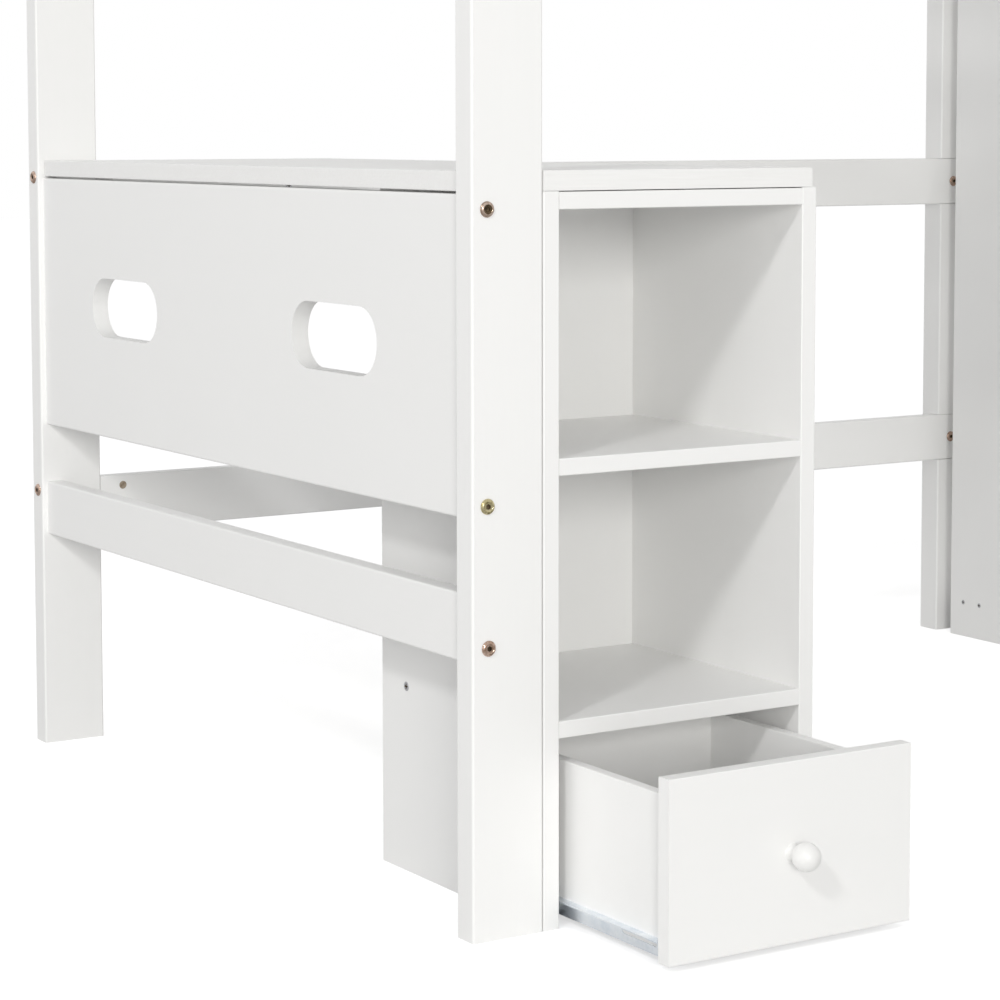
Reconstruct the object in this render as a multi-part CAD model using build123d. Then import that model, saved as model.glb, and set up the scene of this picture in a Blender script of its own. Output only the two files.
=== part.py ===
from build123d import *

import os

# A white twin loft bed: four board posts carry a slatted deck and guard rails. Under the deck
# stand a desk top on a cubby cabinet with one drawer, and a tall shelf unit.
# Millimetres. +X runs along the bed, +Y to the back, +Z up. Every size below is measured from the
# outer corner of the front left post, and the finished model is moved so that its origin is the
# middle of that post's foot.

# Frame
BED_LENGTH = 2010.0
BED_DEPTH = 1067.0
POST_TOP_MARGIN = 30.0
POST_WIDTH = 80.0
POST_THICKNESS = 30.0
EDGE_ROUNDING = 2.5
SMALL_ROUNDING = 1.2
FIT = 0.2

# Back rails and the leg that props them between the corner posts
BACK_RAIL_THICKNESS = 20.0
BACK_RAIL_HEIGHT = 70.0
LOW_BACK_RAIL_BOTTOM = 266.5
DESK_BACK_RAIL_BOTTOM = 662.0
LEG_LEFT = 1484.0
LEG_WIDTH = 50.0
LEG_DEPTH = 38.0

# Left and right ends, whose boards stand between the posts
END_INSET = 7.0
END_PANEL_THICKNESS = 20.0
END_PANEL_BOTTOM = 408.0
END_PANEL_HEIGHT = 310.0
SLOT_LENGTH = 182.0
SLOT_HEIGHT = 71.0
SLOT_SPACING = 514.0
SLOT_RISE = 2.0
SLOT_SHIFT = 8.0
END_RAIL_THICKNESS = 22.0
END_RAIL_HEIGHT = 67.0
END_RAIL_BOTTOM = 268.5

# Sleeping deck
DECK_RAIL_BOTTOM = 1250.0
DECK_RAIL_HEIGHT = 140.0
DECK_RAIL_THICKNESS = 22.0
DECK_RAIL_INSET = 4.0
LEDGER_WIDTH = 25.0
LEDGER_HEIGHT = 30.0
LEDGER_LIFT = 14.0
SLAT_COUNT = 12
SLAT_WIDTH = 70.0
SLAT_THICKNESS = 15.0
SLAT_END_GAP = 3.0

# Guard rails and the gateway for the ladder
GUARD_HEIGHT = 70.0
GUARD_THICKNESS = 20.0
GUARD_GAP = 80.0
GUARD_ROWS = 2
GATE_LEFT = 1045.0
GATE_WIDTH = 380.0
STILE_WIDTH = 60.0
STILE_THICKNESS = 20.0
STILE_LAP = 45.0

# Ladder, which stands on the floor and is bolted to the front deck rail
LADDER_SIDE_THICKNESS = 22.0
LADDER_SIDE_DEPTH = 60.0
TREAD_COUNT = 4
TREAD_RISE = 262.0
TREAD_THICKNESS = 22.0
TREAD_SETBACK = 2.0

# Desk top and the cleat under its back edge
DESK_HEIGHT = 740.0
DESK_THICKNESS = 19.5
DESK_WIDTH = 399.0
DESK_CORNER_RADIUS = 6.0
DESK_SEAT_GAP = 0.4
CLEAT_HEIGHT = 30.0
CLEAT_WIDTH = 22.0
CLEAT_MARGIN = 12.0

# Cubby cabinet under the front of the desk
CABINET_WIDTH = 331.0
CABINET_DEPTH = 315.0
CABINET_SIDE_THICKNESS = 18.0
CABINET_BOARD_THICKNESS = 17.0
CABINET_BACK_THICKNESS = 15.0
CABINET_POST_GAP = 0.8
CUBBY_HEIGHT = 240.0
CABINET_TOP_DROP = 0.6

# Drawer
DRAWER_OPENING = 179.0
DRAWER_FRONT_THICKNESS = 17.0
DRAWER_FRONT_BOTTOM = 7.0
DRAWER_FRONT_GAP = 3.0
DRAWER_TOP_GAP = 5.0
DRAWER_BOX_LENGTH = 292.0
DRAWER_BOX_BOTTOM = 10.0
DRAWER_BOX_TOP_DROP = 20.0
DRAWER_SIDE_THICKNESS = 12.0
DRAWER_BASE_THICKNESS = 3.0
DRAWER_BASE_LIFT = 10.0
DRAWER_GROOVE_DEPTH = 5.0
KNOB_DIAMETER = 28.0
KNOB_NECK_DIAMETER = 13.0
KNOB_NECK_LENGTH = 8.0
KNOB_FOOT_FLARE = 2.5

# Roller slides: a channel on the cabinet, a runner on the drawer and two rollers on each side
SLIDE_SPACE = 13.0
SLIDE_SHEET = 1.2
CHANNEL_LENGTH = 290.0
CHANNEL_FRONT_GAP = 2.0
CHANNEL_BOTTOM = 5.0
CHANNEL_HEIGHT = 31.0
CHANNEL_FLANGE = 9.6
CHANNEL_LIP = 3.0
RUNNER_HEIGHT = 17.2
RUNNER_LIP = 8.2
RUNNER_FOOT = 11.0
RUNNER_SLOT_LENGTH = 58.0
RUNNER_SLOT_HEIGHT = 5.0
RUNNER_SLOT_RISE = 10.7
RUNNER_SLOT_FROM_FRONT = 14.0
ROLLER_DIAMETER = 15.0
ROLLER_WIDTH = 6.6
ROLLER_BORE = 5.1
ROLLER_STUD = 5.0
ROLLER_FLOAT = 0.3
STUD_HEAD_DIAMETER = 8.0
STUD_HEAD_THICKNESS = 0.6
FRONT_ROLLER_FROM_END = 10.0
REAR_ROLLER_FROM_END = 10.0

# Tall shelf unit at the right end
TALL_BACK_FROM_RAIL = 33.0
TALL_DEPTH = 400.0
TALL_DECK_GAP = 50.0
TALL_BOARD_THICKNESS = 17.0
TALL_BACK_THICKNESS = 5.0
TALL_BACK_REBATE = 8.0
TALL_BASE_BOTTOM = 44.0
TALL_SHELF_COUNT = 2
PLINTH_THICKNESS = 15.0
PLINTH_SETBACK = 20.0
SHELF_PIN_DIAMETER = 5.0
SHELF_PIN_LENGTH = 16.0
SHELF_PIN_MARGIN = 40.0

# Fasteners
BOLT_HEAD_DIAMETER = 15.5
BOLT_HEAD_HEIGHT = 2.6
BOLT_HEAD_CROWN = 9.0
BOLT_SOCKET = 4.0
BOLT_SOCKET_DEPTH = 1.8
BOLT_DIAMETER = 6.0
BOLT_STAGGER = 14.0
BARREL_DIAMETER = 10.0
BARREL_SETBACK = 31.0
BARREL_SINK = 0.6
BARREL_WALL = 2.0
BACK_BOLT_DROP = 13.0
BACK_BOLT_DEPTH = 13.0
PANEL_BOLT_MARGIN = 14.0
END_RAIL_BOLT_RISE = 17.0
DECK_BOLT_MARGIN = 35.0
LEG_BOLT_LENGTH = 33.0
STILE_BOLT_LENGTH = 34.0
LADDER_BOLT_LENGTH = 76.0
SCREW_HEAD_DIAMETER = 7.0
SCREW_HEAD_THICKNESS = 1.0
SCREW_DIAMETER = 3.4
SCREW_LENGTH = 40.0
SCREW_MARGIN = 51.0
TALL_SCREW_MARGIN = 29.0
TALL_SCREW_PITCH = 36.0

# Worked out from the sizes above
BACK_PLANE = BED_DEPTH - POST_THICKNESS
RIGHT_POST = BED_LENGTH - POST_WIDTH
DECK_RAIL_TOP = DECK_RAIL_BOTTOM + DECK_RAIL_HEIGHT
GUARD_PITCH = GUARD_HEIGHT + GUARD_GAP
POST_HEIGHT = DECK_RAIL_TOP + GUARD_ROWS * GUARD_PITCH + POST_TOP_MARGIN
DECK_FRONT = (DECK_RAIL_INSET, DECK_RAIL_INSET + DECK_RAIL_THICKNESS)
DECK_BACK = (BACK_PLANE, BACK_PLANE + DECK_RAIL_THICKNESS)
DESK_BOTTOM = DESK_HEIGHT - DESK_THICKNESS
DESK_RIGHT = END_INSET + DESK_WIDTH
CABINET_LEFT = POST_WIDTH + CABINET_POST_GAP
CABINET_RIGHT = CABINET_LEFT + CABINET_WIDTH
CABINET_HEIGHT = DESK_BOTTOM - DESK_SEAT_GAP
INNER_LEFT = CABINET_LEFT + CABINET_SIDE_THICKNESS
INNER_RIGHT = CABINET_RIGHT - CABINET_SIDE_THICKNESS
CABINET_BACK_FACE = CABINET_DEPTH - CABINET_BACK_THICKNESS
TOP_BOARD_TOP = CABINET_HEIGHT - CABINET_TOP_DROP
SHELF_PITCH = CUBBY_HEIGHT + CABINET_BOARD_THICKNESS
UPPER_SHELF_TOP = TOP_BOARD_TOP - SHELF_PITCH
LOWER_SHELF_TOP = UPPER_SHELF_TOP - SHELF_PITCH
LOWER_SHELF_BOTTOM = LOWER_SHELF_TOP - CABINET_BOARD_THICKNESS
FRONT_FACE = -DRAWER_OPENING
FRONT_BACK = FRONT_FACE + DRAWER_FRONT_THICKNESS
FRONT_TOP = LOWER_SHELF_BOTTOM - DRAWER_TOP_GAP
BOX_END = FRONT_BACK + DRAWER_BOX_LENGTH
BOX_LEFT = INNER_LEFT + SLIDE_SPACE
BOX_RIGHT = INNER_RIGHT - SLIDE_SPACE
BOX_TOP = FRONT_TOP - DRAWER_BOX_TOP_DROP
CHANNEL_FRONT = DRAWER_FRONT_THICKNESS + CHANNEL_FRONT_GAP
RUNNER_BOTTOM = DRAWER_BOX_BOTTOM - SLIDE_SHEET
RUNNER_TOP = RUNNER_BOTTOM + RUNNER_HEIGHT
ROLLER_NEAR = (SLIDE_SPACE - ROLLER_WIDTH) / 2
ROLLER_FAR = (SLIDE_SPACE + ROLLER_WIDTH) / 2
FRONT_ROLLER = (
    CHANNEL_FRONT + FRONT_ROLLER_FROM_END,
    RUNNER_TOP - SLIDE_SHEET - ROLLER_FLOAT - ROLLER_DIAMETER / 2,
)
REAR_ROLLER = (
    BOX_END - REAR_ROLLER_FROM_END,
    CHANNEL_BOTTOM + SLIDE_SHEET + ROLLER_FLOAT + ROLLER_DIAMETER / 2,
)
TALL_HEIGHT = DECK_RAIL_BOTTOM - TALL_DECK_GAP
TALL_LEFT = LEG_LEFT
TALL_RIGHT = BED_LENGTH - END_INSET - END_RAIL_THICKNESS - FIT
TALL_INNER = (TALL_LEFT + TALL_BOARD_THICKNESS, TALL_RIGHT - TALL_BOARD_THICKNESS)
TALL_BACK = BACK_PLANE - TALL_BACK_FROM_RAIL
TALL_FRONT = TALL_BACK - TALL_DEPTH
GATE_RIGHT = GATE_LEFT + GATE_WIDTH

parts = {}
bolts = []
barrels = []
screws = []
pins = []


def span(x, y, z):
    """A box between the given pairs of X, Y and Z limits."""
    size = [high - low for low, high in (x, y, z)]
    centre = [(high + low) / 2 for low, high in (x, y, z)]
    return Pos(*centre) * Box(*size)


def board(x, y, z, along, rounding=EDGE_ROUNDING):
    """A board between the limits, its edges along the given axis rounded."""
    body = span(x, y, z)
    return fillet(body.edges().filter_by(along), rounding)


def rod(start, direction, diameter, length):
    """A round bar that starts at a point and runs along a direction."""
    place = Plane(origin=start, z_dir=direction)
    return place * Pos(0, 0, length / 2) * Cylinder(diameter / 2, length)


def bore(names, start, direction, diameter, length):
    """Drills the same hole into each named piece."""
    for name in names:
        parts[name] -= rod(start, direction, diameter, length)


def bolt(names, start, direction, length):
    """A furniture bolt through the named pieces, its low crowned head on the first one."""
    bore(names, start, direction, BOLT_DIAMETER + FIT, length + FIT)
    out = [-part for part in direction]
    seat = Plane(origin=start, z_dir=out)
    middle = Pos(0, 0, BOLT_HEAD_HEIGHT / 2)
    head = middle * Cone(BOLT_HEAD_DIAMETER / 2, BOLT_HEAD_CROWN / 2, BOLT_HEAD_HEIGHT)
    floor = BOLT_HEAD_HEIGHT - BOLT_SOCKET_DEPTH
    hexagon = RegularPolygon(BOLT_SOCKET / 2, 6, major_radius=False)
    head -= Pos(0, 0, floor) * extrude(hexagon, BOLT_SOCKET_DEPTH)
    bolts.append(seat * head + rod(start, direction, BOLT_DIAMETER, length))


def bolt_to_barrel(post, rail, start, direction, cover, inner):
    """Bolts a rail's end to a post, into a barrel nut let into the rail from its inner face.

    cover is the thickness of post that the bolt crosses. inner gives the axis across the rail,
    the place of its inner face on that axis, the way into the wood and the rail's thickness.
    """
    reach = cover + BARREL_SETBACK
    bolt([post, rail], start, direction, reach + BARREL_DIAMETER / 2)
    axis, face, inward, thickness = inner
    way = [0, 0, 0]
    way[axis] = inward
    mouth = [place + step * reach for place, step in zip(start, direction)]
    mouth[axis] = face
    depth = thickness - BARREL_WALL
    bore([rail], mouth, way, BARREL_DIAMETER + FIT, depth)
    mouth[axis] = face + inward * BARREL_SINK
    nut = rod(mouth, way, BARREL_DIAMETER, depth - BARREL_SINK)
    shank = BOLT_DIAMETER + FIT
    barrels.append(nut - rod(start, direction, shank, reach + BARREL_DIAMETER))


def screw(names, start, direction):
    """A wood screw, its flat head flush with the first named piece, into the second."""
    bore(names[:1], start, direction, SCREW_HEAD_DIAMETER + FIT, SCREW_HEAD_THICKNESS)
    bore(names, start, direction, SCREW_DIAMETER + FIT, SCREW_LENGTH + FIT)
    head = rod(start, direction, SCREW_HEAD_DIAMETER, SCREW_HEAD_THICKNESS)
    screws.append(head + rod(start, direction, SCREW_DIAMETER, SCREW_LENGTH))


def make_posts():
    """The corner posts, wide faces to the front, and the leg behind the shelf unit."""
    for side, left in (("left", 0), ("right", RIGHT_POST)):
        for place, front in (("front", 0), ("back", BACK_PLANE)):
            width = (left, left + POST_WIDTH)
            depth = (front, front + POST_THICKNESS)
            parts[f"post_{place}_{side}"] = board(width, depth, (0, POST_HEIGHT), Axis.Z)
    width = (LEG_LEFT, LEG_LEFT + LEG_WIDTH)
    depth = (BACK_PLANE, BACK_PLANE + LEG_DEPTH)
    parts["back_leg"] = board(width, depth, (0, DECK_RAIL_TOP), Axis.Z)


def house_in_leg(depth, height):
    """Cuts the housing that lets a back rail lie flush in the leg's front."""
    length = (POST_WIDTH, RIGHT_POST)
    deep = (depth[0] - 1, depth[1] + FIT)
    parts["back_leg"] -= span(length, deep, (height[0] - FIT, height[1] + FIT))


def bolt_side_rail(name, place, depth, levels, bolt_depth, inward):
    """Bolts a long rail between the left and right posts at each level."""
    face = depth[0] if inward > 0 else depth[1]
    inner = (1, face, inward, depth[1] - depth[0])
    for side, edge, way in (("left", 0, 1), ("right", BED_LENGTH, -1)):
        for level in levels:
            start = (edge, bolt_depth, level)
            bolt_to_barrel(f"post_{place}_{side}", name, start, (way, 0, 0), POST_WIDTH, inner)


def bolt_leg(rail, level):
    """Bolts a back rail to the leg through the middle of its housing."""
    start = (LEG_LEFT + LEG_WIDTH / 2, BACK_PLANE, level)
    bolt([rail, "back_leg"], start, (0, 1, 0), LEG_BOLT_LENGTH)


def make_back_rails():
    """Two rails across the back, let into the leg so that its face stays flush with them."""
    depth = (BACK_PLANE, BACK_PLANE + BACK_RAIL_THICKNESS)
    for name, bottom in (("low", LOW_BACK_RAIL_BOTTOM), ("desk", DESK_BACK_RAIL_BOTTOM)):
        rail = f"back_rail_{name}"
        height = (bottom, bottom + BACK_RAIL_HEIGHT)
        parts[rail] = board((POST_WIDTH, RIGHT_POST), depth, height, Axis.X)
        house_in_leg(depth, height)
        levels = [height[1] - BACK_BOLT_DROP]
        bolt_side_rail(rail, "back", depth, levels, BACK_PLANE + BACK_BOLT_DEPTH, 1)
        bolt_leg(rail, sum(height) / 2)


def end_limits(side, thickness):
    """X limits of a board set in from the outer face of one end."""
    if side == "left":
        return END_INSET, END_INSET + thickness
    return BED_LENGTH - END_INSET - thickness, BED_LENGTH - END_INSET


def make_end_board(name, side, thickness, height, levels):
    """A board between the front and back posts of one end, bolted to both at each level."""
    limits = end_limits(side, thickness)
    parts[name] = board(limits, (POST_THICKNESS, BACK_PLANE), height, Axis.Y)
    inner = (0, limits[1], -1, thickness) if side == "left" else (0, limits[0], 1, thickness)
    for place, edge, way in (("front", 0, 1), ("back", BED_DEPTH, -1)):
        for level in levels:
            start = (sum(limits) / 2, edge, level)
            bolt_to_barrel(f"post_{place}_{side}", name, start, (0, way, 0), POST_THICKNESS, inner)


def make_ends():
    """The slotted panel at the left end, and the low rail at both ends."""
    height = (END_PANEL_BOTTOM, END_PANEL_BOTTOM + END_PANEL_HEIGHT)
    levels = (height[0] + PANEL_BOLT_MARGIN, height[1] - PANEL_BOLT_MARGIN)
    make_end_board("end_panel_slotted", "left", END_PANEL_THICKNESS, height, levels)
    middle = (POST_THICKNESS + BACK_PLANE) / 2 + SLOT_SHIFT
    for step in (-SLOT_SPACING / 2, SLOT_SPACING / 2):
        centre = (END_INSET, middle + step, sum(height) / 2 + SLOT_RISE)
        wall = Plane(origin=centre, x_dir=(0, 1, 0), z_dir=(1, 0, 0))
        outline = wall * SlotOverall(SLOT_LENGTH, SLOT_HEIGHT)
        parts["end_panel_slotted"] -= extrude(outline, END_PANEL_THICKNESS)
    height = (END_RAIL_BOTTOM, END_RAIL_BOTTOM + END_RAIL_HEIGHT)
    levels = [height[0] + END_RAIL_BOLT_RISE]
    for side in ("left", "right"):
        make_end_board(f"end_rail_{side}", side, END_RAIL_THICKNESS, height, levels)


def make_deck():
    """Side rails, end boards, ledgers and slats of the sleeping deck."""
    height = (DECK_RAIL_BOTTOM, DECK_RAIL_TOP)
    side_levels = (height[0] + DECK_BOLT_MARGIN, height[1] - DECK_BOLT_MARGIN)
    end_levels = [level + BOLT_STAGGER for level in side_levels]
    for place, depth, inward in (("front", DECK_FRONT, -1), ("back", DECK_BACK, 1)):
        name = f"deck_rail_{place}"
        parts[name] = board((POST_WIDTH, RIGHT_POST), depth, height, Axis.X)
        bolt_side_rail(name, place, depth, side_levels, sum(depth) / 2, inward)
    house_in_leg(DECK_BACK, height)
    bolt_leg("deck_rail_back", sum(height) / 2)
    for side in ("left", "right"):
        make_end_board(f"deck_end_{side}", side, DECK_RAIL_THICKNESS, height, end_levels)
    bottom = DECK_RAIL_BOTTOM + LEDGER_LIFT
    ledger = (bottom, bottom + LEDGER_HEIGHT)
    inner = (POST_WIDTH, RIGHT_POST)
    front = (DECK_FRONT[1], DECK_FRONT[1] + LEDGER_WIDTH)
    back = (DECK_BACK[0] - LEDGER_WIDTH, DECK_BACK[0])
    parts["slat_ledger_front"] = board(inner, front, ledger, Axis.X, SMALL_ROUNDING)
    parts["slat_ledger_back"] = board(inner, back, ledger, Axis.X, SMALL_ROUNDING)
    pitch = (inner[1] - inner[0] - SLAT_WIDTH) / (SLAT_COUNT - 1)
    across = (front[0] + SLAT_END_GAP, back[1] - SLAT_END_GAP)
    layer = (ledger[1], ledger[1] + SLAT_THICKNESS)
    slats = []
    for index in range(SLAT_COUNT):
        left = inner[0] + index * pitch
        slats.append(board((left, left + SLAT_WIDTH), across, layer, Axis.Y, SMALL_ROUNDING))
    parts["slats"] = Compound(slats)


def guard_levels():
    """Bottom and top of each guard rail above the deck rails."""
    lows = [DECK_RAIL_TOP + GUARD_GAP + row * GUARD_PITCH for row in range(GUARD_ROWS)]
    return [(low, low + GUARD_HEIGHT) for low in lows]


def make_guards():
    """Guard rails on all four sides, with a gateway between two stiles at the front."""
    front = (DECK_FRONT[0], DECK_FRONT[0] + GUARD_THICKNESS)
    back = (DECK_BACK[0], DECK_BACK[0] + GUARD_THICKNESS)
    ends = (POST_THICKNESS, BACK_PLANE)
    runs = {
        "guard_front_left": ((POST_WIDTH, GATE_LEFT), front, Axis.X),
        "guard_front_right": ((GATE_RIGHT, RIGHT_POST), front, Axis.X),
        "guard_back": ((POST_WIDTH, RIGHT_POST), back, Axis.X),
        "guard_end_left": (end_limits("left", GUARD_THICKNESS), ends, Axis.Y),
        "guard_end_right": (end_limits("right", GUARD_THICKNESS), ends, Axis.Y),
    }
    for name, (x, y, along) in runs.items():
        parts[name] = Compound([board(x, y, level, along) for level in guard_levels()])
    stile = (front[1], front[1] + STILE_THICKNESS)
    height = (DECK_RAIL_TOP - STILE_LAP, guard_levels()[-1][1])
    lap = (0, BED_LENGTH), (0, DECK_FRONT[1] + FIT), (0, DECK_RAIL_TOP + FIT)
    pair = []
    for left in (GATE_LEFT - STILE_WIDTH, GATE_RIGHT):
        pair.append(board((left, left + STILE_WIDTH), stile, height, Axis.Z) - span(*lap))
    parts["guard_stiles"] = Compound(pair)


def bolt_guards():
    """Bolts the guard rails to the posts and to the gateway's stiles."""
    front = DECK_FRONT[0] + GUARD_THICKNESS / 2
    back = DECK_BACK[0] + GUARD_THICKNESS / 2
    side_rails = (
        ("guard_front_left", "front", "left", front),
        ("guard_front_right", "front", "right", front),
        ("guard_back", "back", "left", back),
        ("guard_back", "back", "right", back),
    )
    for bottom, top in guard_levels():
        level = (bottom + top - BOLT_STAGGER) / 2
        for name, place, side, middle in side_rails:
            edge, way = (0, 1) if side == "left" else (BED_LENGTH, -1)
            length = POST_WIDTH + BARREL_SETBACK
            bolt([f"post_{place}_{side}", name], (edge, middle, level), (way, 0, 0), length)
        for side in ("left", "right"):
            middle = sum(end_limits(side, GUARD_THICKNESS)) / 2
            for place, edge, way in (("front", 0, 1), ("back", BED_DEPTH, -1)):
                names = [f"post_{place}_{side}", f"guard_end_{side}"]
                start = (middle, edge, level + BOLT_STAGGER)
                bolt(names, start, (0, way, 0), POST_THICKNESS + BARREL_SETBACK)
    for side, left in (("left", GATE_LEFT - STILE_WIDTH), ("right", GATE_RIGHT)):
        middle = left + STILE_WIDTH / 2
        for bottom, top in guard_levels():
            start = (middle, DECK_FRONT[0], (bottom + top) / 2)
            bolt([f"guard_front_{side}", "guard_stiles"], start, (0, 1, 0), STILE_BOLT_LENGTH)
        start = (middle, DECK_FRONT[0], DECK_RAIL_TOP - STILE_LAP / 2)
        bolt(["deck_rail_front", "guard_stiles"], start, (0, 1, 0), STILE_BOLT_LENGTH)


def make_ladder():
    """Two sides that stand in front of the deck rail, and flat treads between them."""
    depth = (DECK_FRONT[0] - LADDER_SIDE_DEPTH, DECK_FRONT[0])
    width = (GATE_LEFT + LADDER_SIDE_THICKNESS, GATE_RIGHT - LADDER_SIDE_THICKNESS)
    for name, edges in (("left", (GATE_LEFT, width[0])), ("right", (width[1], GATE_RIGHT))):
        side = f"ladder_side_{name}"
        parts[side] = board(edges, depth, (0, DECK_RAIL_TOP), Axis.Z)
        start = (sum(edges) / 2, depth[0], (DECK_RAIL_BOTTOM + DECK_RAIL_TOP) / 2)
        bolt([side, "deck_rail_front"], start, (0, 1, 0), LADDER_BOLT_LENGTH)
    tread_depth = (depth[0] + TREAD_SETBACK, depth[1] - TREAD_SETBACK)
    tops = [(index + 1) * TREAD_RISE for index in range(TREAD_COUNT)]
    treads = [board(width, tread_depth, (top - TREAD_THICKNESS, top), Axis.X) for top in tops]
    parts["ladder_treads"] = Compound(treads)
    for top in tops:
        place = (sum(depth) / 2, top - TREAD_THICKNESS / 2)
        screw(["ladder_side_left", "ladder_treads"], (GATE_LEFT, *place), (1, 0, 0))
        screw(["ladder_side_right", "ladder_treads"], (GATE_RIGHT, *place), (-1, 0, 0))


def make_desk():
    """The desk top, notched round the front left post, and the cleat on the back rail."""
    length = (END_INSET, DESK_RIGHT)
    back = BACK_PLANE - FIT
    top = board(length, (0, back), (DESK_BOTTOM, DESK_HEIGHT), Axis.Y, SMALL_ROUNDING)
    clear = CABINET_POST_GAP
    notch = (0, POST_WIDTH + clear), (-clear, POST_THICKNESS + clear), (0, POST_HEIGHT)
    top -= span(*notch)
    far_left = top.edges().filter_by(Axis.Z).sort_by(Axis.Y)[-2:].sort_by(Axis.X)[0]
    parts["desk_top"] = fillet(far_left, DESK_CORNER_RADIUS)
    cleat_x = (POST_WIDTH + CLEAT_MARGIN, DESK_RIGHT - CLEAT_MARGIN)
    cleat_y = (BACK_PLANE - CLEAT_WIDTH, BACK_PLANE)
    cleat_z = (DESK_BOTTOM - CLEAT_HEIGHT, DESK_BOTTOM)
    parts["desk_cleat"] = board(cleat_x, cleat_y, cleat_z, Axis.X, SMALL_ROUNDING)
    for x in (cleat_x[0] + SCREW_MARGIN, cleat_x[1] - SCREW_MARGIN):
        screw(["desk_cleat", "back_rail_desk"], (x, cleat_y[0], sum(cleat_z) / 2), (0, 1, 0))


def make_cabinet():
    """The cabinet: sides to the floor, three boards between them and a back for the cubbies."""
    height = (0, CABINET_HEIGHT)
    depth = (0, CABINET_DEPTH)
    sides = {"left": (CABINET_LEFT, INNER_LEFT), "right": (INNER_RIGHT, CABINET_RIGHT)}
    for side, width in sides.items():
        parts[f"cabinet_side_{side}"] = board(width, depth, height, Axis.Z, SMALL_ROUNDING)
    inner = (INNER_LEFT, INNER_RIGHT)
    tops = {"top": TOP_BOARD_TOP, "shelf_upper": UPPER_SHELF_TOP, "shelf_lower": LOWER_SHELF_TOP}
    for place, top in tops.items():
        name = f"cabinet_{place}"
        level = (top - CABINET_BOARD_THICKNESS, top)
        parts[name] = board(inner, (0, CABINET_BACK_FACE), level, Axis.X, SMALL_ROUNDING)
        for margin in (SCREW_MARGIN, CABINET_DEPTH - SCREW_MARGIN):
            middle = sum(level) / 2
            screw(["cabinet_side_left", name], (CABINET_LEFT, margin, middle), (1, 0, 0))
            screw(["cabinet_side_right", name], (CABINET_RIGHT, margin, middle), (-1, 0, 0))
    back = (CABINET_BACK_FACE, CABINET_DEPTH)
    parts["cabinet_back"] = span(inner, back, (LOWER_SHELF_BOTTOM, TOP_BOARD_TOP))


def make_drawer():
    """The drawer, pulled out as it is seen. Its front closes between the cabinet's sides."""
    front_x = (INNER_LEFT + DRAWER_FRONT_GAP, INNER_RIGHT - DRAWER_FRONT_GAP)
    front_z = (DRAWER_FRONT_BOTTOM, FRONT_TOP)
    parts["drawer_front"] = board(front_x, (FRONT_FACE, FRONT_BACK), front_z, Axis.X, SMALL_ROUNDING)
    length = (FRONT_BACK, BOX_END)
    height = (DRAWER_BOX_BOTTOM, BOX_TOP)
    left = (BOX_LEFT, BOX_LEFT + DRAWER_SIDE_THICKNESS)
    right = (BOX_RIGHT - DRAWER_SIDE_THICKNESS, BOX_RIGHT)
    base_bottom = DRAWER_BOX_BOTTOM + DRAWER_BASE_LIFT
    base_z = (base_bottom, base_bottom + DRAWER_BASE_THICKNESS)
    back = (BOX_END - DRAWER_SIDE_THICKNESS, BOX_END)
    groove_x = (left[1] - DRAWER_GROOVE_DEPTH, right[0] + DRAWER_GROOVE_DEPTH)
    groove = span(groove_x, length, (base_z[0] - FIT, base_z[1] + FIT))
    parts["drawer_side_left"] = board(left, length, height, Axis.Y, SMALL_ROUNDING) - groove
    parts["drawer_side_right"] = board(right, length, height, Axis.Y, SMALL_ROUNDING) - groove
    parts["drawer_back"] = span((left[1], right[0]), back, (base_z[1] + FIT, BOX_TOP))
    base_x = (groove_x[0] + FIT, groove_x[1] - FIT)
    parts["drawer_base"] = span(base_x, length, base_z)
    make_knob((sum(front_x) / 2, FRONT_FACE, sum(front_z) / 2))


def make_knob(seat):
    """A turned ball knob with a flared neck, its seat flat on the drawer front."""
    ball = KNOB_DIAMETER / 2
    neck = KNOB_NECK_DIAMETER / 2
    foot = neck + KNOB_FOOT_FLARE
    ball_centre = KNOB_NECK_LENGTH + (ball**2 - neck**2) ** 0.5
    nose = ball_centre + ball
    outline = [
        Line((0, 0), (foot, 0)),
        Line((foot, 0), (neck, KNOB_NECK_LENGTH)),
        ThreePointArc((neck, KNOB_NECK_LENGTH), (ball, ball_centre), (0, nose)),
        Line((0, nose), (0, 0)),
    ]
    profile = Plane.XZ * make_face(outline)
    parts["drawer_knob"] = Plane(origin=seat, z_dir=(0, -1, 0)) * revolve(profile, Axis.Z)


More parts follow.
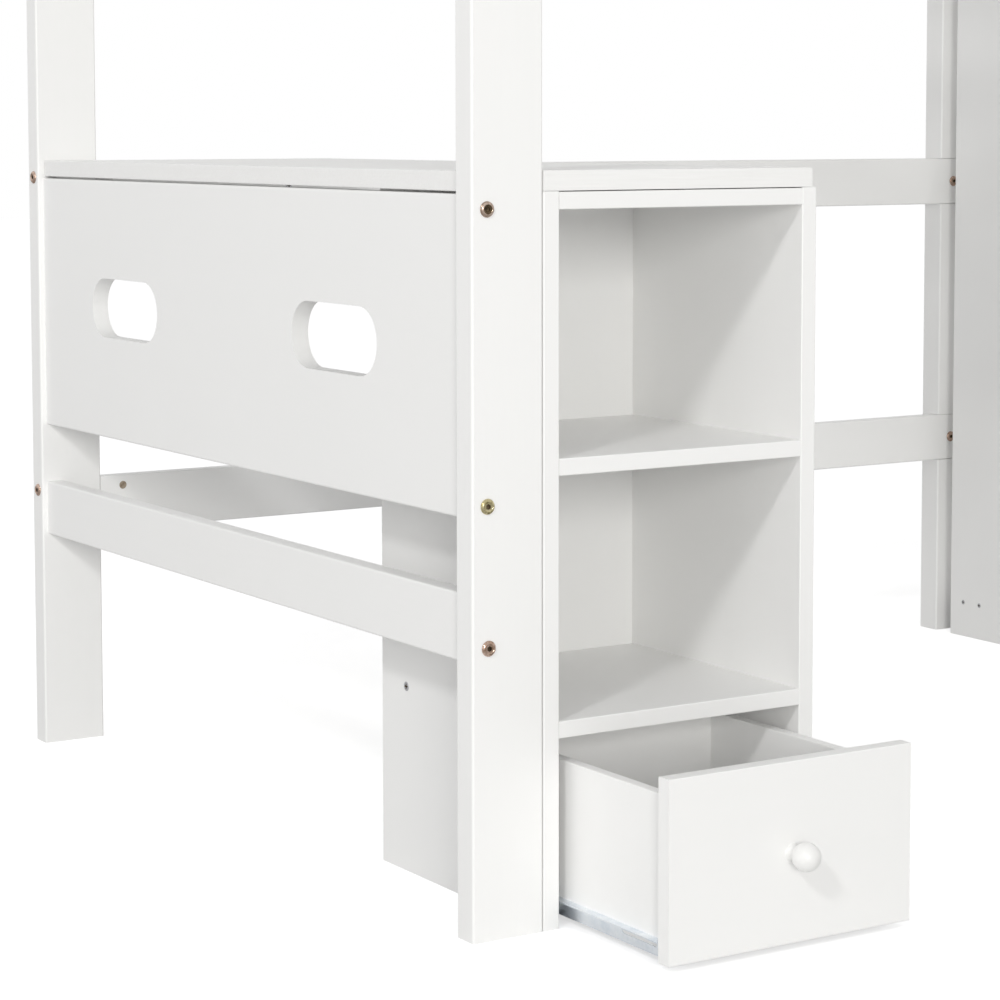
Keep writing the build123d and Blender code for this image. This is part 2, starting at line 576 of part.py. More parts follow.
class SlideSide:
    """One side's slide, with distances measured from the cabinet side towards the drawer."""

    def __init__(self, side):
        self.wall, self.way = (INNER_LEFT, 1) if side == "left" else (INNER_RIGHT, -1)

    def sheet(self, near, far, y, z):
        """A flat piece between two distances from the cabinet side."""
        edges = sorted((self.wall + self.way * near, self.wall + self.way * far))
        return span(edges, y, z)

    def pin(self, near, far, place, diameter):
        """A round piece across the slide between two distances from the cabinet side."""
        start = (self.wall + self.way * near, *place)
        return rod(start, (self.way, 0, 0), diameter, far - near)

    def stud(self, place, root, from_cabinet):
        """A roller's stud: shoulder on the sheet at root, journal, and a flat head at its end."""
        low = ROLLER_NEAR - ROLLER_FLOAT
        high = ROLLER_FAR + ROLLER_FLOAT
        journal = self.pin(low, high, place, ROLLER_STUD)
        if from_cabinet:
            shoulder = self.pin(root, low, place, STUD_HEAD_DIAMETER)
            head = self.pin(high, high + STUD_HEAD_THICKNESS, place, STUD_HEAD_DIAMETER)
        else:
            shoulder = self.pin(high, root, place, STUD_HEAD_DIAMETER)
            head = self.pin(low - STUD_HEAD_THICKNESS, low, place, STUD_HEAD_DIAMETER)
        return shoulder + journal + head

    def channel(self):
        """The channel on the cabinet side, open towards the drawer, with the front stud."""
        length = (CHANNEL_FRONT, CHANNEL_FRONT + CHANNEL_LENGTH)
        low = CHANNEL_BOTTOM
        high = CHANNEL_BOTTOM + CHANNEL_HEIGHT
        web = self.sheet(0, SLIDE_SHEET, length, (low, high))
        foot = self.sheet(0, CHANNEL_FLANGE, length, (low, low + SLIDE_SHEET))
        head = self.sheet(0, CHANNEL_FLANGE, length, (high - SLIDE_SHEET, high))
        lip_root = CHANNEL_FLANGE - SLIDE_SHEET
        lip = self.sheet(lip_root, CHANNEL_FLANGE, length, (high - CHANNEL_LIP, high))
        return web + foot + head + lip + self.stud(FRONT_ROLLER, SLIDE_SHEET, True)

    def runner(self):
        """The runner on the drawer: foot under its side, slotted web, lip and rear stud."""
        length = (FRONT_BACK, BOX_END)
        near = SLIDE_SPACE - SLIDE_SHEET
        web = self.sheet(near, SLIDE_SPACE, length, (RUNNER_BOTTOM, RUNNER_TOP))
        foot_z = (RUNNER_BOTTOM, DRAWER_BOX_BOTTOM)
        foot = self.sheet(near, SLIDE_SPACE + RUNNER_FOOT, length, foot_z)
        lip_z = (RUNNER_TOP - SLIDE_SHEET, RUNNER_TOP)
        lip = self.sheet(near - RUNNER_LIP, SLIDE_SPACE, length, lip_z)
        middle = FRONT_BACK + RUNNER_SLOT_FROM_FRONT + RUNNER_SLOT_LENGTH / 2
        start = (self.wall + self.way * near, middle, RUNNER_BOTTOM + RUNNER_SLOT_RISE)
        face = Plane(origin=start, x_dir=(0, 1, 0), z_dir=(self.way, 0, 0))
        outline = face * SlotOverall(RUNNER_SLOT_LENGTH, RUNNER_SLOT_HEIGHT)
        slot = extrude(outline, SLIDE_SHEET)
        return web + foot + lip + self.stud(REAR_ROLLER, near, False) - slot

    def roller(self, place):
        """A nylon roller with a running bore."""
        body = self.pin(ROLLER_NEAR, ROLLER_FAR, place, ROLLER_DIAMETER)
        return body - self.pin(ROLLER_NEAR, ROLLER_FAR, place, ROLLER_BORE)


def make_slides():
    """Both roller slides."""
    for side in ("left", "right"):
        slide = SlideSide(side)
        parts[f"slide_channel_{side}"] = slide.channel()
        parts[f"slide_runner_{side}"] = slide.runner()
        parts[f"slide_roller_front_{side}"] = slide.roller(FRONT_ROLLER)
        parts[f"slide_roller_rear_{side}"] = slide.roller(REAR_ROLLER)


def make_tall_unit():
    """The tall open shelf unit, its left side in line with the leg behind it."""
    depth = (TALL_FRONT, TALL_BACK)
    sides = {"left": (TALL_LEFT, TALL_INNER[0]), "right": (TALL_INNER[1], TALL_RIGHT)}
    for side, width in sides.items():
        parts[f"tall_side_{side}"] = board(width, depth, (0, TALL_HEIGHT), Axis.Z, SMALL_ROUNDING)
    back_y = (TALL_BACK - TALL_BACK_REBATE - TALL_BACK_THICKNESS, TALL_BACK - TALL_BACK_REBATE)
    shelf_y = (TALL_FRONT, back_y[0])
    fixed = {"tall_base": TALL_BASE_BOTTOM, "tall_top": TALL_HEIGHT - TALL_BOARD_THICKNESS}
    for name, bottom in fixed.items():
        level = (bottom, bottom + TALL_BOARD_THICKNESS)
        parts[name] = board(TALL_INNER, shelf_y, level, Axis.X, SMALL_ROUNDING)
        for margin in (TALL_SCREW_MARGIN, TALL_SCREW_MARGIN + TALL_SCREW_PITCH):
            start = (TALL_LEFT, TALL_BACK - margin, sum(level) / 2)
            screw(["tall_side_left", name], start, (1, 0, 0))
    pitch = (fixed["tall_top"] - fixed["tall_base"]) / (TALL_SHELF_COUNT + 1)
    for index in range(TALL_SHELF_COUNT):
        bottom = fixed["tall_base"] + (index + 1) * pitch
        level = (bottom, bottom + TALL_BOARD_THICKNESS)
        edges = (TALL_INNER[0] + FIT, TALL_INNER[1] - FIT)
        parts[f"tall_shelf_{index + 1}"] = board(edges, shelf_y, level, Axis.X, SMALL_ROUNDING)
        place_shelf_pins(bottom)
    parts["tall_back"] = span(TALL_INNER, back_y, (TALL_BASE_BOTTOM, TALL_HEIGHT))
    plinth_y = (TALL_FRONT + PLINTH_SETBACK, TALL_FRONT + PLINTH_SETBACK + PLINTH_THICKNESS)
    parts["tall_plinth"] = span(TALL_INNER, plinth_y, (0, TALL_BASE_BOTTOM))


def place_shelf_pins(underside):
    """Four pins in the unit's sides, under one loose shelf."""
    level = underside - SHELF_PIN_DIAMETER / 2
    for y in (TALL_FRONT + SHELF_PIN_MARGIN, TALL_BACK - SHELF_PIN_MARGIN):
        for side, edge, way in (("left", TALL_INNER[0], -1), ("right", TALL_INNER[1], 1)):
            start = (edge - way * SHELF_PIN_LENGTH / 2, y, level)
            hole = (SHELF_PIN_DIAMETER + FIT, SHELF_PIN_LENGTH + FIT)
            bore([f"tall_side_{side}"], start, (way, 0, 0), *hole)
            pins.append(rod(start, (way, 0, 0), SHELF_PIN_DIAMETER, SHELF_PIN_LENGTH))


def export_all():
    """Moves every piece to the frame's origin and writes one file each."""
    os.makedirs("parts", exist_ok=True)
    parts["frame_bolts"] = Compound(bolts)
    parts["barrel_nuts"] = Compound(barrels)
    parts["flush_screws"] = Compound(screws)
    parts["shelf_pins"] = Compound(pins)
    to_origin = Pos(-POST_WIDTH / 2, -POST_THICKNESS / 2, 0)
    for name, shape in parts.items():
        export_step(to_origin * shape, f"parts/{name}.step")
    print(len(parts), "pieces written")


make_posts()
make_back_rails()
make_ends()
make_deck()
make_guards()
bolt_guards()
make_ladder()
make_desk()
make_cabinet()
make_drawer()
make_slides()
make_tall_unit()
export_all()
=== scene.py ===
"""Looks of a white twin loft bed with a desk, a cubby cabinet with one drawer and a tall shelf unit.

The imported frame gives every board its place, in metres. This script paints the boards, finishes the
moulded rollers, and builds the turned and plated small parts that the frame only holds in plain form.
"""

import logging
import math
from dataclasses import dataclass, field
from enum import Enum
from typing import Callable, ClassVar, Iterable, Sequence

import bmesh
import bpy
from mathutils import Matrix, Vector


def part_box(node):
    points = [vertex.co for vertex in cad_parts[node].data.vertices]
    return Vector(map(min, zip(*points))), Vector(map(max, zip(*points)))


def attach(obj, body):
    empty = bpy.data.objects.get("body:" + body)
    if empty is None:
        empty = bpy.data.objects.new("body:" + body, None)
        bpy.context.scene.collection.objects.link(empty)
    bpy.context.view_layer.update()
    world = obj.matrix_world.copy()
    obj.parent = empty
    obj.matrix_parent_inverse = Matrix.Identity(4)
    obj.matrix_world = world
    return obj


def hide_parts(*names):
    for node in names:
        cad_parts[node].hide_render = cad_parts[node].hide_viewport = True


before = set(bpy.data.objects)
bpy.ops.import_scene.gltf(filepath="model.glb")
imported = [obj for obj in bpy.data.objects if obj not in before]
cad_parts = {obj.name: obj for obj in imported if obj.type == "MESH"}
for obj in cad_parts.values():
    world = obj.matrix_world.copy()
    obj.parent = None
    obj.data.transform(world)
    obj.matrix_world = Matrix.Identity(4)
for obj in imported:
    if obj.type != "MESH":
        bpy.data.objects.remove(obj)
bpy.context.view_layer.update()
LOG = logging.getLogger("loft_bed")

Ring = list[bmesh.types.BMVert]
Colour = tuple[float, float, float]
Socket = bpy.types.NodeSocket
Radius = float | Callable[[float], float]
Profile = list[tuple[float, Radius]]

# Places of the factor, the two colours and the result on a Mix node that mixes colours
MIX_INPUTS = (0, 6, 7)
MIX_RESULT = 2

# Points closer than this, in metres, are one point when solids are told apart
WELD_DISTANCE = 1e-6


class Grain(Enum):
    """The way a board's grain runs. The value scales the texture's coordinates."""

    ALONG_X = (0.035, 1.0, 1.0)
    ALONG_Y = (1.0, 0.035, 1.0)
    ALONG_Z = (1.0, 1.0, 0.035)


class Plating(Enum):
    """Plating of a bolt's head, and the painted shade of its recess, as the slot's index on the bolts' mesh.
    """

    BRONZE = 0
    BRASS = 1
    COPPER = 2
    # Not a plating: a dark colour painted into bolt and screw recesses as painted shade
    RECESS_SHADE = 3


BOLT_COLOURS: dict[Plating, tuple[Colour, Colour]] = {
    Plating.BRONZE: ((0.62, 0.50, 0.42), (0.20, 0.13, 0.09)),
    Plating.BRASS: ((0.68, 0.61, 0.40), (0.30, 0.25, 0.11)),
    Plating.COPPER: ((0.66, 0.50, 0.42), (0.27, 0.17, 0.11)),
    # Painted shade for the recesses of bolts and screws, not a plating
    Plating.RECESS_SHADE: ((0.17, 0.12, 0.07), (0.04, 0.028, 0.018)),
}


class ShaderGraph:
    """Adds nodes to one shader tree and joins their sockets."""

    def __init__(self, tree: bpy.types.NodeTree) -> None:
        """Keeps the tree that the nodes go into."""
        self.tree = tree

    def node(self, kind: str, values: dict[str, object] | None = None, **settings: object) -> bpy.types.Node:
        """Adds one node.

        Args:
            kind: Blender's name for the node's type, without its Shader prefix.
            values: input socket name to a constant, or to another node's output socket.
            settings: properties of the node itself.

        Returns:
            The new node.
        """
        made = self.tree.nodes.new(f"ShaderNode{kind}")
        for name, value in settings.items():
            setattr(made, name, value)
        for name, value in (values or {}).items():
            self.put(made.inputs[name], value)
        return made

    def put(self, target: Socket, value: object) -> None:
        """Joins an output socket to target, or sets target's constant.

        Args:
            target: the input socket.
            value: an output socket or a constant.
        """
        if isinstance(value, bpy.types.NodeSocket):
            self.tree.links.new(value, target)
        else:
            target.default_value = value

    def math(self, operation: str, first: object, second: object = 0.0) -> Socket:
        """Adds one math node.

        Args:
            operation: Blender's name for the operation.
            first: a number or an output socket.
            second: a number or an output socket.

        Returns:
            The socket of the result.
        """
        made = self.node("Math", operation=operation)
        self.put(made.inputs[0], first)
        self.put(made.inputs[1], second)
        return made.outputs[0]

    def noise(self, vector: Socket, scale: object, detail: float, roughness: float = 0.55) -> Socket:
        """Fractal noise between 0 and 1 over the given coordinates."""
        values = {"Vector": vector, "Scale": scale, "Detail": detail, "Roughness": roughness}
        return self.node("TexNoise", values).outputs["Fac"]

    def span(self, value: Socket, low: float, high: float, start: float = 0.0, end: float = 1.0) -> Socket:
        """Maps low..high of a value to start..end, held at both ends."""
        values = {"Value": value, "From Min": low, "From Max": high, "To Min": start, "To Max": end}
        return self.node("MapRange", values).outputs[0]

    def blend(self, factor: object, first: object, second: object) -> Socket:
        """Adds a mix of two colours.

        Args:
            factor: share of the second colour, a number or an output socket.
            first: a colour or an output socket.
            second: a colour or an output socket.

        Returns:
            The socket of the mixed colour.
        """
        made = self.node("Mix", data_type="RGBA")
        for index, value in zip(MIX_INPUTS, (factor, first, second)):
            self.put(made.inputs[index], opaque(value))
        return made.outputs[MIX_RESULT]

    def bump(self, height: Socket, depth: float, normal: Socket | None = None) -> Socket:
        """Adds a bump.

        Args:
            height: relief between 0 and 1.
            depth: the relief's full height in metres.
            normal: the normal to bump, where another bump comes first.

        Returns:
            The socket of the bumped normal.
        """
        values: dict[str, object] = {"Height": height, "Distance": depth, "Strength": 1.0}
        if normal is not None:
            values["Normal"] = normal
        return self.node("Bump", values).outputs["Normal"]


def opaque(value: object) -> object:
    """A three-part colour with its alpha added, and anything else as it is."""
    return (*value, 1.0) if isinstance(value, tuple) and len(value) == 3 else value


class EffectGroup:
    """A shader node group with named inputs and outputs, built once and placed in many materials."""

    built: ClassVar[dict[str, bpy.types.NodeTree]] = {}

    def __init__(self, name: str, inputs: dict[str, object], outputs: Sequence[str]) -> None:
        """Keeps the group's name, its inputs with their defaults, and its outputs.

        Args:
            name: the group's name.
            inputs: input name to its default, a number or a three-part vector.
            outputs: names of the values that the group gives.
        """
        self.name = name
        self.inputs = inputs
        self.outputs = outputs

    def draw(self, graph: ShaderGraph, source: bpy.types.Node, sink: bpy.types.Node) -> None:
        """Adds the nodes between the group's input and output, in a way of each effect's own."""
        raise NotImplementedError

    def tree(self) -> bpy.types.NodeTree:
        """Draws the group's tree the first time it is asked for.

        Returns:
            The finished tree.
        """
        if self.name not in self.built:
            made = bpy.data.node_groups.new(self.name, "ShaderNodeTree")
            for name, default in self.inputs.items():
                kind = "NodeSocketVector" if isinstance(default, tuple) else "NodeSocketFloat"
                entry = made.interface.new_socket(name, in_out="INPUT", socket_type=kind)
                entry.default_value = default
            for name in self.outputs:
                made.interface.new_socket(name, in_out="OUTPUT", socket_type="NodeSocketFloat")
            source = made.nodes.new("NodeGroupInput")
            sink = made.nodes.new("NodeGroupOutput")
            self.draw(ShaderGraph(made), source, sink)
            self.built[self.name] = made
        return self.built[self.name]


class BoardGrain(EffectGroup):
    """Grain that shows through paint: fine long pores and a broad slow figure."""

    PORE_DETAIL: ClassVar[float] = 5.0
    PORE_ROUGHNESS: ClassVar[float] = 0.62
    FIGURE_SCALE: ClassVar[float] = 34.0
    FIGURE_DETAIL: ClassVar[float] = 3.0
    CONTRAST: ClassVar[tuple[float, float]] = (0.3, 0.7)

    def __init__(self) -> None:
        """Names the group's inputs and outputs."""
        super().__init__("board_grain", {"Stretch": (1.0, 1.0, 1.0), "Scale": 260.0}, ("Pores", "Figure"))

    def draw(self, graph: ShaderGraph, source: bpy.types.Node, sink: bpy.types.Node) -> None:
        """Adds the nodes of the group.

        Args:
            graph: the group's tree.
            source: its input node.
            sink: its output node.
        """
        place = graph.node("TexCoord").outputs["Object"]
        along = graph.node("VectorMath", {"Vector": place}, operation="MULTIPLY")
        graph.put(along.inputs[1], source.outputs["Stretch"])
        fine = graph.noise(along.outputs[0], source.outputs["Scale"], self.PORE_DETAIL, self.PORE_ROUGHNESS)
        broad = graph.noise(along.outputs[0], self.FIGURE_SCALE, self.FIGURE_DETAIL)
        graph.put(sink.inputs["Pores"], graph.span(fine, *self.CONTRAST))
        graph.put(sink.inputs["Figure"], graph.span(broad, *self.CONTRAST))


class PaintFilm(EffectGroup):
    """A sprayed coat of paint: fine peel, slow changes of gloss and a few specks of dust."""

    PEEL_DETAIL: ClassVar[float] = 2.0
    PEEL_ROUGHNESS: ClassVar[float] = 0.45
    GLOSS_SCALE: ClassVar[float] = 9.0
    GLOSS_DETAIL: ClassVar[float] = 4.0
    GLOSS_CONTRAST: ClassVar[tuple[float, float]] = (0.25, 0.75)
    SPECK_SCALE: ClassVar[float] = 900.0
    SPECK_CONTRAST: ClassVar[tuple[float, float]] = (0.72, 0.8)
    PATCH_SCALE: ClassVar[float] = 21.0
    PATCH_CONTRAST: ClassVar[tuple[float, float]] = (0.45, 0.7)

    def __init__(self) -> None:
        """Names the group's inputs and outputs."""
        super().__init__("paint_film", {"Peel": 420.0, "Dust": 0.5}, ("Peel Height", "Gloss", "Specks"))

    def draw(self, graph: ShaderGraph, source: bpy.types.Node, sink: bpy.types.Node) -> None:
        """Adds the nodes of the group.

        Args:
            graph: the group's tree.
            source: its input node.
            sink: its output node.
        """
        place = graph.node("TexCoord").outputs["Object"]
        peel = graph.noise(place, source.outputs["Peel"], self.PEEL_DETAIL, self.PEEL_ROUGHNESS)
        gloss = graph.noise(place, self.GLOSS_SCALE, self.GLOSS_DETAIL)
        specks = graph.span(graph.noise(place, self.SPECK_SCALE, 1.0), *self.SPECK_CONTRAST)
        patches = graph.span(graph.noise(place, self.PATCH_SCALE, 2.0), *self.PATCH_CONTRAST)
        graph.put(sink.inputs["Peel Height"], peel)
        graph.put(sink.inputs["Gloss"], graph.span(gloss, *self.GLOSS_CONTRAST))
        dust = graph.math("MULTIPLY", graph.math("MULTIPLY", specks, patches), source.outputs["Dust"])
        graph.put(sink.inputs["Specks"], dust)


class MetalSkin(EffectGroup):
    """Plated or rolled metal: cloudy tarnish and fine lines left by the tool."""

    CLOUD_DETAIL: ClassVar[float] = 4.0
    CLOUD_ROUGHNESS: ClassVar[float] = 0.6
    CLOUD_CONTRAST: ClassVar[tuple[float, float]] = (0.32, 0.68)
    LINE_SCALE: ClassVar[float] = 2600.0
    LINE_DETAIL: ClassVar[float] = 2.0

    def __init__(self) -> None:
        """Names the group's inputs and outputs."""
        super().__init__("metal_skin", {"Stretch": (1.0, 1.0, 1.0), "Cloud": 180.0}, ("Tarnish", "Lines"))

    def draw(self, graph: ShaderGraph, source: bpy.types.Node, sink: bpy.types.Node) -> None:
        """Adds the nodes of the group.

        Args:
            graph: the group's tree.
            source: its input node.
            sink: its output node.
        """
        place = graph.node("TexCoord").outputs["Object"]
        cloud = graph.noise(place, source.outputs["Cloud"], self.CLOUD_DETAIL, self.CLOUD_ROUGHNESS)
        along = graph.node("VectorMath", {"Vector": place}, operation="MULTIPLY")
        graph.put(along.inputs[1], source.outputs["Stretch"])
        lines = graph.noise(along.outputs[0], self.LINE_SCALE, self.LINE_DETAIL)
        graph.put(sink.inputs["Tarnish"], graph.span(cloud, *self.CLOUD_CONTRAST))
        graph.put(sink.inputs["Lines"], lines)


def new_material(name: str) -> tuple[bpy.types.Material, ShaderGraph, bpy.types.Node]:
    """Starts a material.

    Args:
        name: the material's name.

    Returns:
        The material, a graph on its tree, and its Principled BSDF.
    """
    material = bpy.data.materials.new(name)
    material.use_nodes = True
    graph = ShaderGraph(material.node_tree)
    return material, graph, material.node_tree.nodes["Principled BSDF"]


def place_group(graph: ShaderGraph, effect: EffectGroup, values: dict[str, object]) -> bpy.types.Node:
    """Places a shared effect in a material with the material's own values.

    Args:
        graph: the material's tree.
        effect: the shared effect.
        values: input name of the group to its value here.

    Returns:
        The placed group.
    """
    made = graph.node("Group")
    made.node_tree = effect.tree()
    for name, value in values.items():
        graph.put(made.inputs[name], value)
    return made


@dataclass(frozen=True)
class WhitePaint:
    """Satin white paint over timber or board, with the grain just showing through."""

    name: str
    grain: Grain
    colour: Colour = (0.93, 0.928, 0.918)
    shade: Colour = (0.885, 0.88, 0.864)
    figure: float = 0.1
    pores: float = 0.06
    pore_scale: float = 260.0
    grain_depth: float = 0.00005
    peel_depth: float = 0.00002
    roughness: tuple[float, float] = (0.36, 0.5)

    def material(self) -> bpy.types.Material:
        """Mixes the paint.

        Returns:
            The finished material.
        """
        material, graph, surface = new_material(self.name)
        grain = place_group(graph, BoardGrain(), {"Stretch": self.grain.value, "Scale": self.pore_scale})
        film = place_group(graph, PaintFilm(), {})
        tone = graph.math("MULTIPLY", grain.outputs["Figure"], self.figure)
        tone = graph.math("ADD", tone, graph.math("MULTIPLY", grain.outputs["Pores"], self.pores))
        tone = graph.math("ADD", tone, film.outputs["Specks"])
        graph.put(surface.inputs["Base Color"], graph.blend(tone, self.colour, self.shade))
        gloss = graph.span(film.outputs["Gloss"], 0.0, 1.0, *self.roughness)
        graph.put(surface.inputs["Roughness"], gloss)
        relief = graph.bump(grain.outputs["Pores"], self.grain_depth)
        relief = graph.bump(film.outputs["Peel Height"], self.peel_depth, relief)
        graph.put(surface.inputs["Normal"], relief)
        return material


@dataclass(frozen=True)
class PlatedMetal:
    """Plated steel, its tint clouded by tarnish."""

    name: str
    colour: Colour
    tarnish: Colour
    roughness: tuple[float, float] = (0.24, 0.42)
    stretch: tuple[float, float, float] = (1.0, 1.0, 1.0)
    cloud: float = 180.0
    line_depth: float = 0.000008

    def material(self) -> bpy.types.Material:
        """Plates the metal.

        Returns:
            The finished material.
        """
        material, graph, surface = new_material(self.name)
        skin = place_group(graph, MetalSkin(), {"Stretch": self.stretch, "Cloud": self.cloud})
        surface.inputs["Metallic"].default_value = 1.0
        tone = graph.blend(skin.outputs["Tarnish"], self.colour, self.tarnish)
        graph.put(surface.inputs["Base Color"], tone)
        dulling = graph.span(skin.outputs["Tarnish"], 0.0, 1.0, *self.roughness)
        graph.put(surface.inputs["Roughness"], dulling)
        graph.put(surface.inputs["Normal"], graph.bump(skin.outputs["Lines"], self.line_depth))
        return material


@dataclass(frozen=True)
class MouldedNylon:
    """Off-white moulded nylon with a faint flow mottle."""

    name: str
    colour: Colour = (0.80, 0.79, 0.75)
    shade: Colour = (0.70, 0.69, 0.64)
    mottle: float = 0.4
    peel: float = 900.0
    peel_depth: float = 0.00003
    roughness: tuple[float, float] = (0.42, 0.56)
    glow_through: float = 0.15
    glow_reach: tuple[float, float, float] = (0.002, 0.002, 0.0015)

    def material(self) -> bpy.types.Material:
        """Moulds the nylon.

        Returns:
            The finished material.
        """
        material, graph, surface = new_material(self.name)
        film = place_group(graph, PaintFilm(), {"Peel": self.peel, "Dust": 1.0})
        tone = graph.math("MULTIPLY", film.outputs["Gloss"], self.mottle)
        tone = graph.math("ADD", tone, film.outputs["Specks"])
        graph.put(surface.inputs["Base Color"], graph.blend(tone, self.colour, self.shade))
        dulling = graph.span(film.outputs["Gloss"], 0.0, 1.0, *self.roughness)
        graph.put(surface.inputs["Roughness"], dulling)
        graph.put(surface.inputs["Normal"], graph.bump(film.outputs["Peel Height"], self.peel_depth))
        surface.inputs["Subsurface Weight"].default_value = self.glow_through
        surface.inputs["Subsurface Radius"].default_value = self.glow_reach
        return material


class PaintShop:
    """Makes each finish once and gives it out."""

    def __init__(self) -> None:
        """Makes the finishes of the whole bed."""
        self.timber = {way: WhitePaint(f"white_timber_{way.name.lower()}", way).material() for way in Grain}
        self.panel = {way: self.smooth_panel(way).material() for way in Grain}
        self.desk = WhitePaint(
            "white_desk",
            Grain.ALONG_X,
            figure=0.2,
            pores=0.6,
            pore_scale=420.0,
            grain_depth=0.00016,
        ).material()
        # The knob's white is a darker copy of the paint, painted shade that keeps the lit ball below full
        # white
        self.knob = WhitePaint(
            "white_knob_shaded",
            Grain.ALONG_Y,
            colour=(0.87, 0.868, 0.855),
            figure=0.1,
            roughness=(0.34, 0.42),
        ).material()
        # The recess entry gives a dark painted-shade metal for bolt and screw recesses, not a plating
        self.bolts = {
            kind: PlatedMetal(f"bolt_{kind.name.lower()}", *colours, roughness=(0.14, 0.28)).material()
            for kind, colours in BOLT_COLOURS.items()
        }
        self.nut = PlatedMetal("nut_steel", (0.62, 0.53, 0.42), (0.34, 0.26, 0.19)).material()
        self.screw = PlatedMetal("screw_zinc", (0.66, 0.66, 0.67), (0.46, 0.46, 0.48)).material()
        self.zinc = PlatedMetal(
            "slide_zinc",
            colour=(0.90, 0.93, 0.96),
            tarnish=(0.76, 0.81, 0.87),
            roughness=(0.3, 0.46),
            stretch=(1.0, 0.03, 1.0),
            cloud=60.0,
        ).material()
        self.nylon = MouldedNylon("roller_nylon").material()

    @staticmethod
    def smooth_panel(way: Grain) -> WhitePaint:
        """Paint on board, where less grain shows than on timber."""
        name = f"white_panel_{way.name.lower()}"
        return WhitePaint(name, way, figure=0.07, pores=0.03, grain_depth=0.00002)


def dress(names: Iterable[str], material: bpy.types.Material) -> None:
    """Gives carried-over nodes of the frame one finish.

    Args:
        names: the nodes' names.
        material: the finish.
    """
    for name in names:
        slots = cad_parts[name].data.materials
        slots.clear()
        slots.append(material)
        LOG.info("dressed %s in %s", name, material.name)


def grain_of(name: str) -> Grain:
    """Finds the way a board's grain runs, along the longest side of its box.

    Args:
        name: the board's node.

    Returns:
        The grain's way.
    """
    low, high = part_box(name)
    size = high - low
    longest = max(range(3), key=lambda axis: size[axis])
    return tuple(Grain)[longest]


def solids_of(name: str) -> list[tuple[Vector, Vector, list[Vector]]]:
    """Finds the lowest corner, highest corner and points of every separate solid in a node.

    Args:
        name: the node, a group of like fasteners.

    Returns:
        One entry a solid, sorted by place.
    """
    shape = bmesh.new()
    shape.from_mesh(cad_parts[name].data)
    bmesh.ops.remove_doubles(shape, verts=shape.verts, dist=WELD_DISTANCE)
    seen: set[int] = set()
    boxes = []
    shape.verts.ensure_lookup_table()
    for start in shape.verts:
        if start.index in seen:
            continue
        seen.add(start.index)
        open_ends, spots = [start], []
        while open_ends:
            vert = open_ends.pop()
            spots.append(vert.co.copy())
            for edge in vert.link_edges:
                other = edge.other_vert(vert)
                if other.index not in seen:
                    seen.add(other.index)
                    open_ends.append(other)
        low = Vector([min(spot[axis] for spot in spots) for axis in range(3)])
        high = Vector([max(spot[axis] for spot in spots) for axis in range(3)])
        boxes.append((low, high, spots))
    shape.free()
    boxes.sort(key=lambda entry: tuple(round(part, 4) for part in entry[0]))
    return boxes


def head_place(low: Vector, high: Vector, spots: Sequence[Vector]) -> tuple[Vector, Vector, float]:
    """Finds where a fastener's head is, the way it faces, and the fastener's whole length.

    Args:
        low: lowest corner of the fastener's solid.
        high: its highest corner.
        spots: its vertices.

    Returns:
        The middle of the head's outer end, the unit vector out of the wood, and the length.
    """
    size = high - low
    axis = max(range(3), key=lambda index: size[index])
    middle = (low + high) / 2
    reach = [0.0, 0.0]
    for spot in spots:
        aside = spot - middle
        aside[axis] = 0.0
        end = 0 if spot[axis] < middle[axis] else 1
        reach[end] = max(reach[end], aside.length)
    outward = Vector((0.0, 0.0, 0.0))
    outward[axis] = -1.0 if reach[0] > reach[1] else 1.0
    tip = middle.copy()
    tip[axis] = low[axis] if outward[axis] < 0 else high[axis]
    return tip, outward, size[axis]


def facing(place: Vector, outward: Vector) -> Matrix:
    """A frame at place whose +Z points outward."""
    return Matrix.Translation(place) @ outward.to_track_quat("Z", "Y").to_matrix().to_4x4()


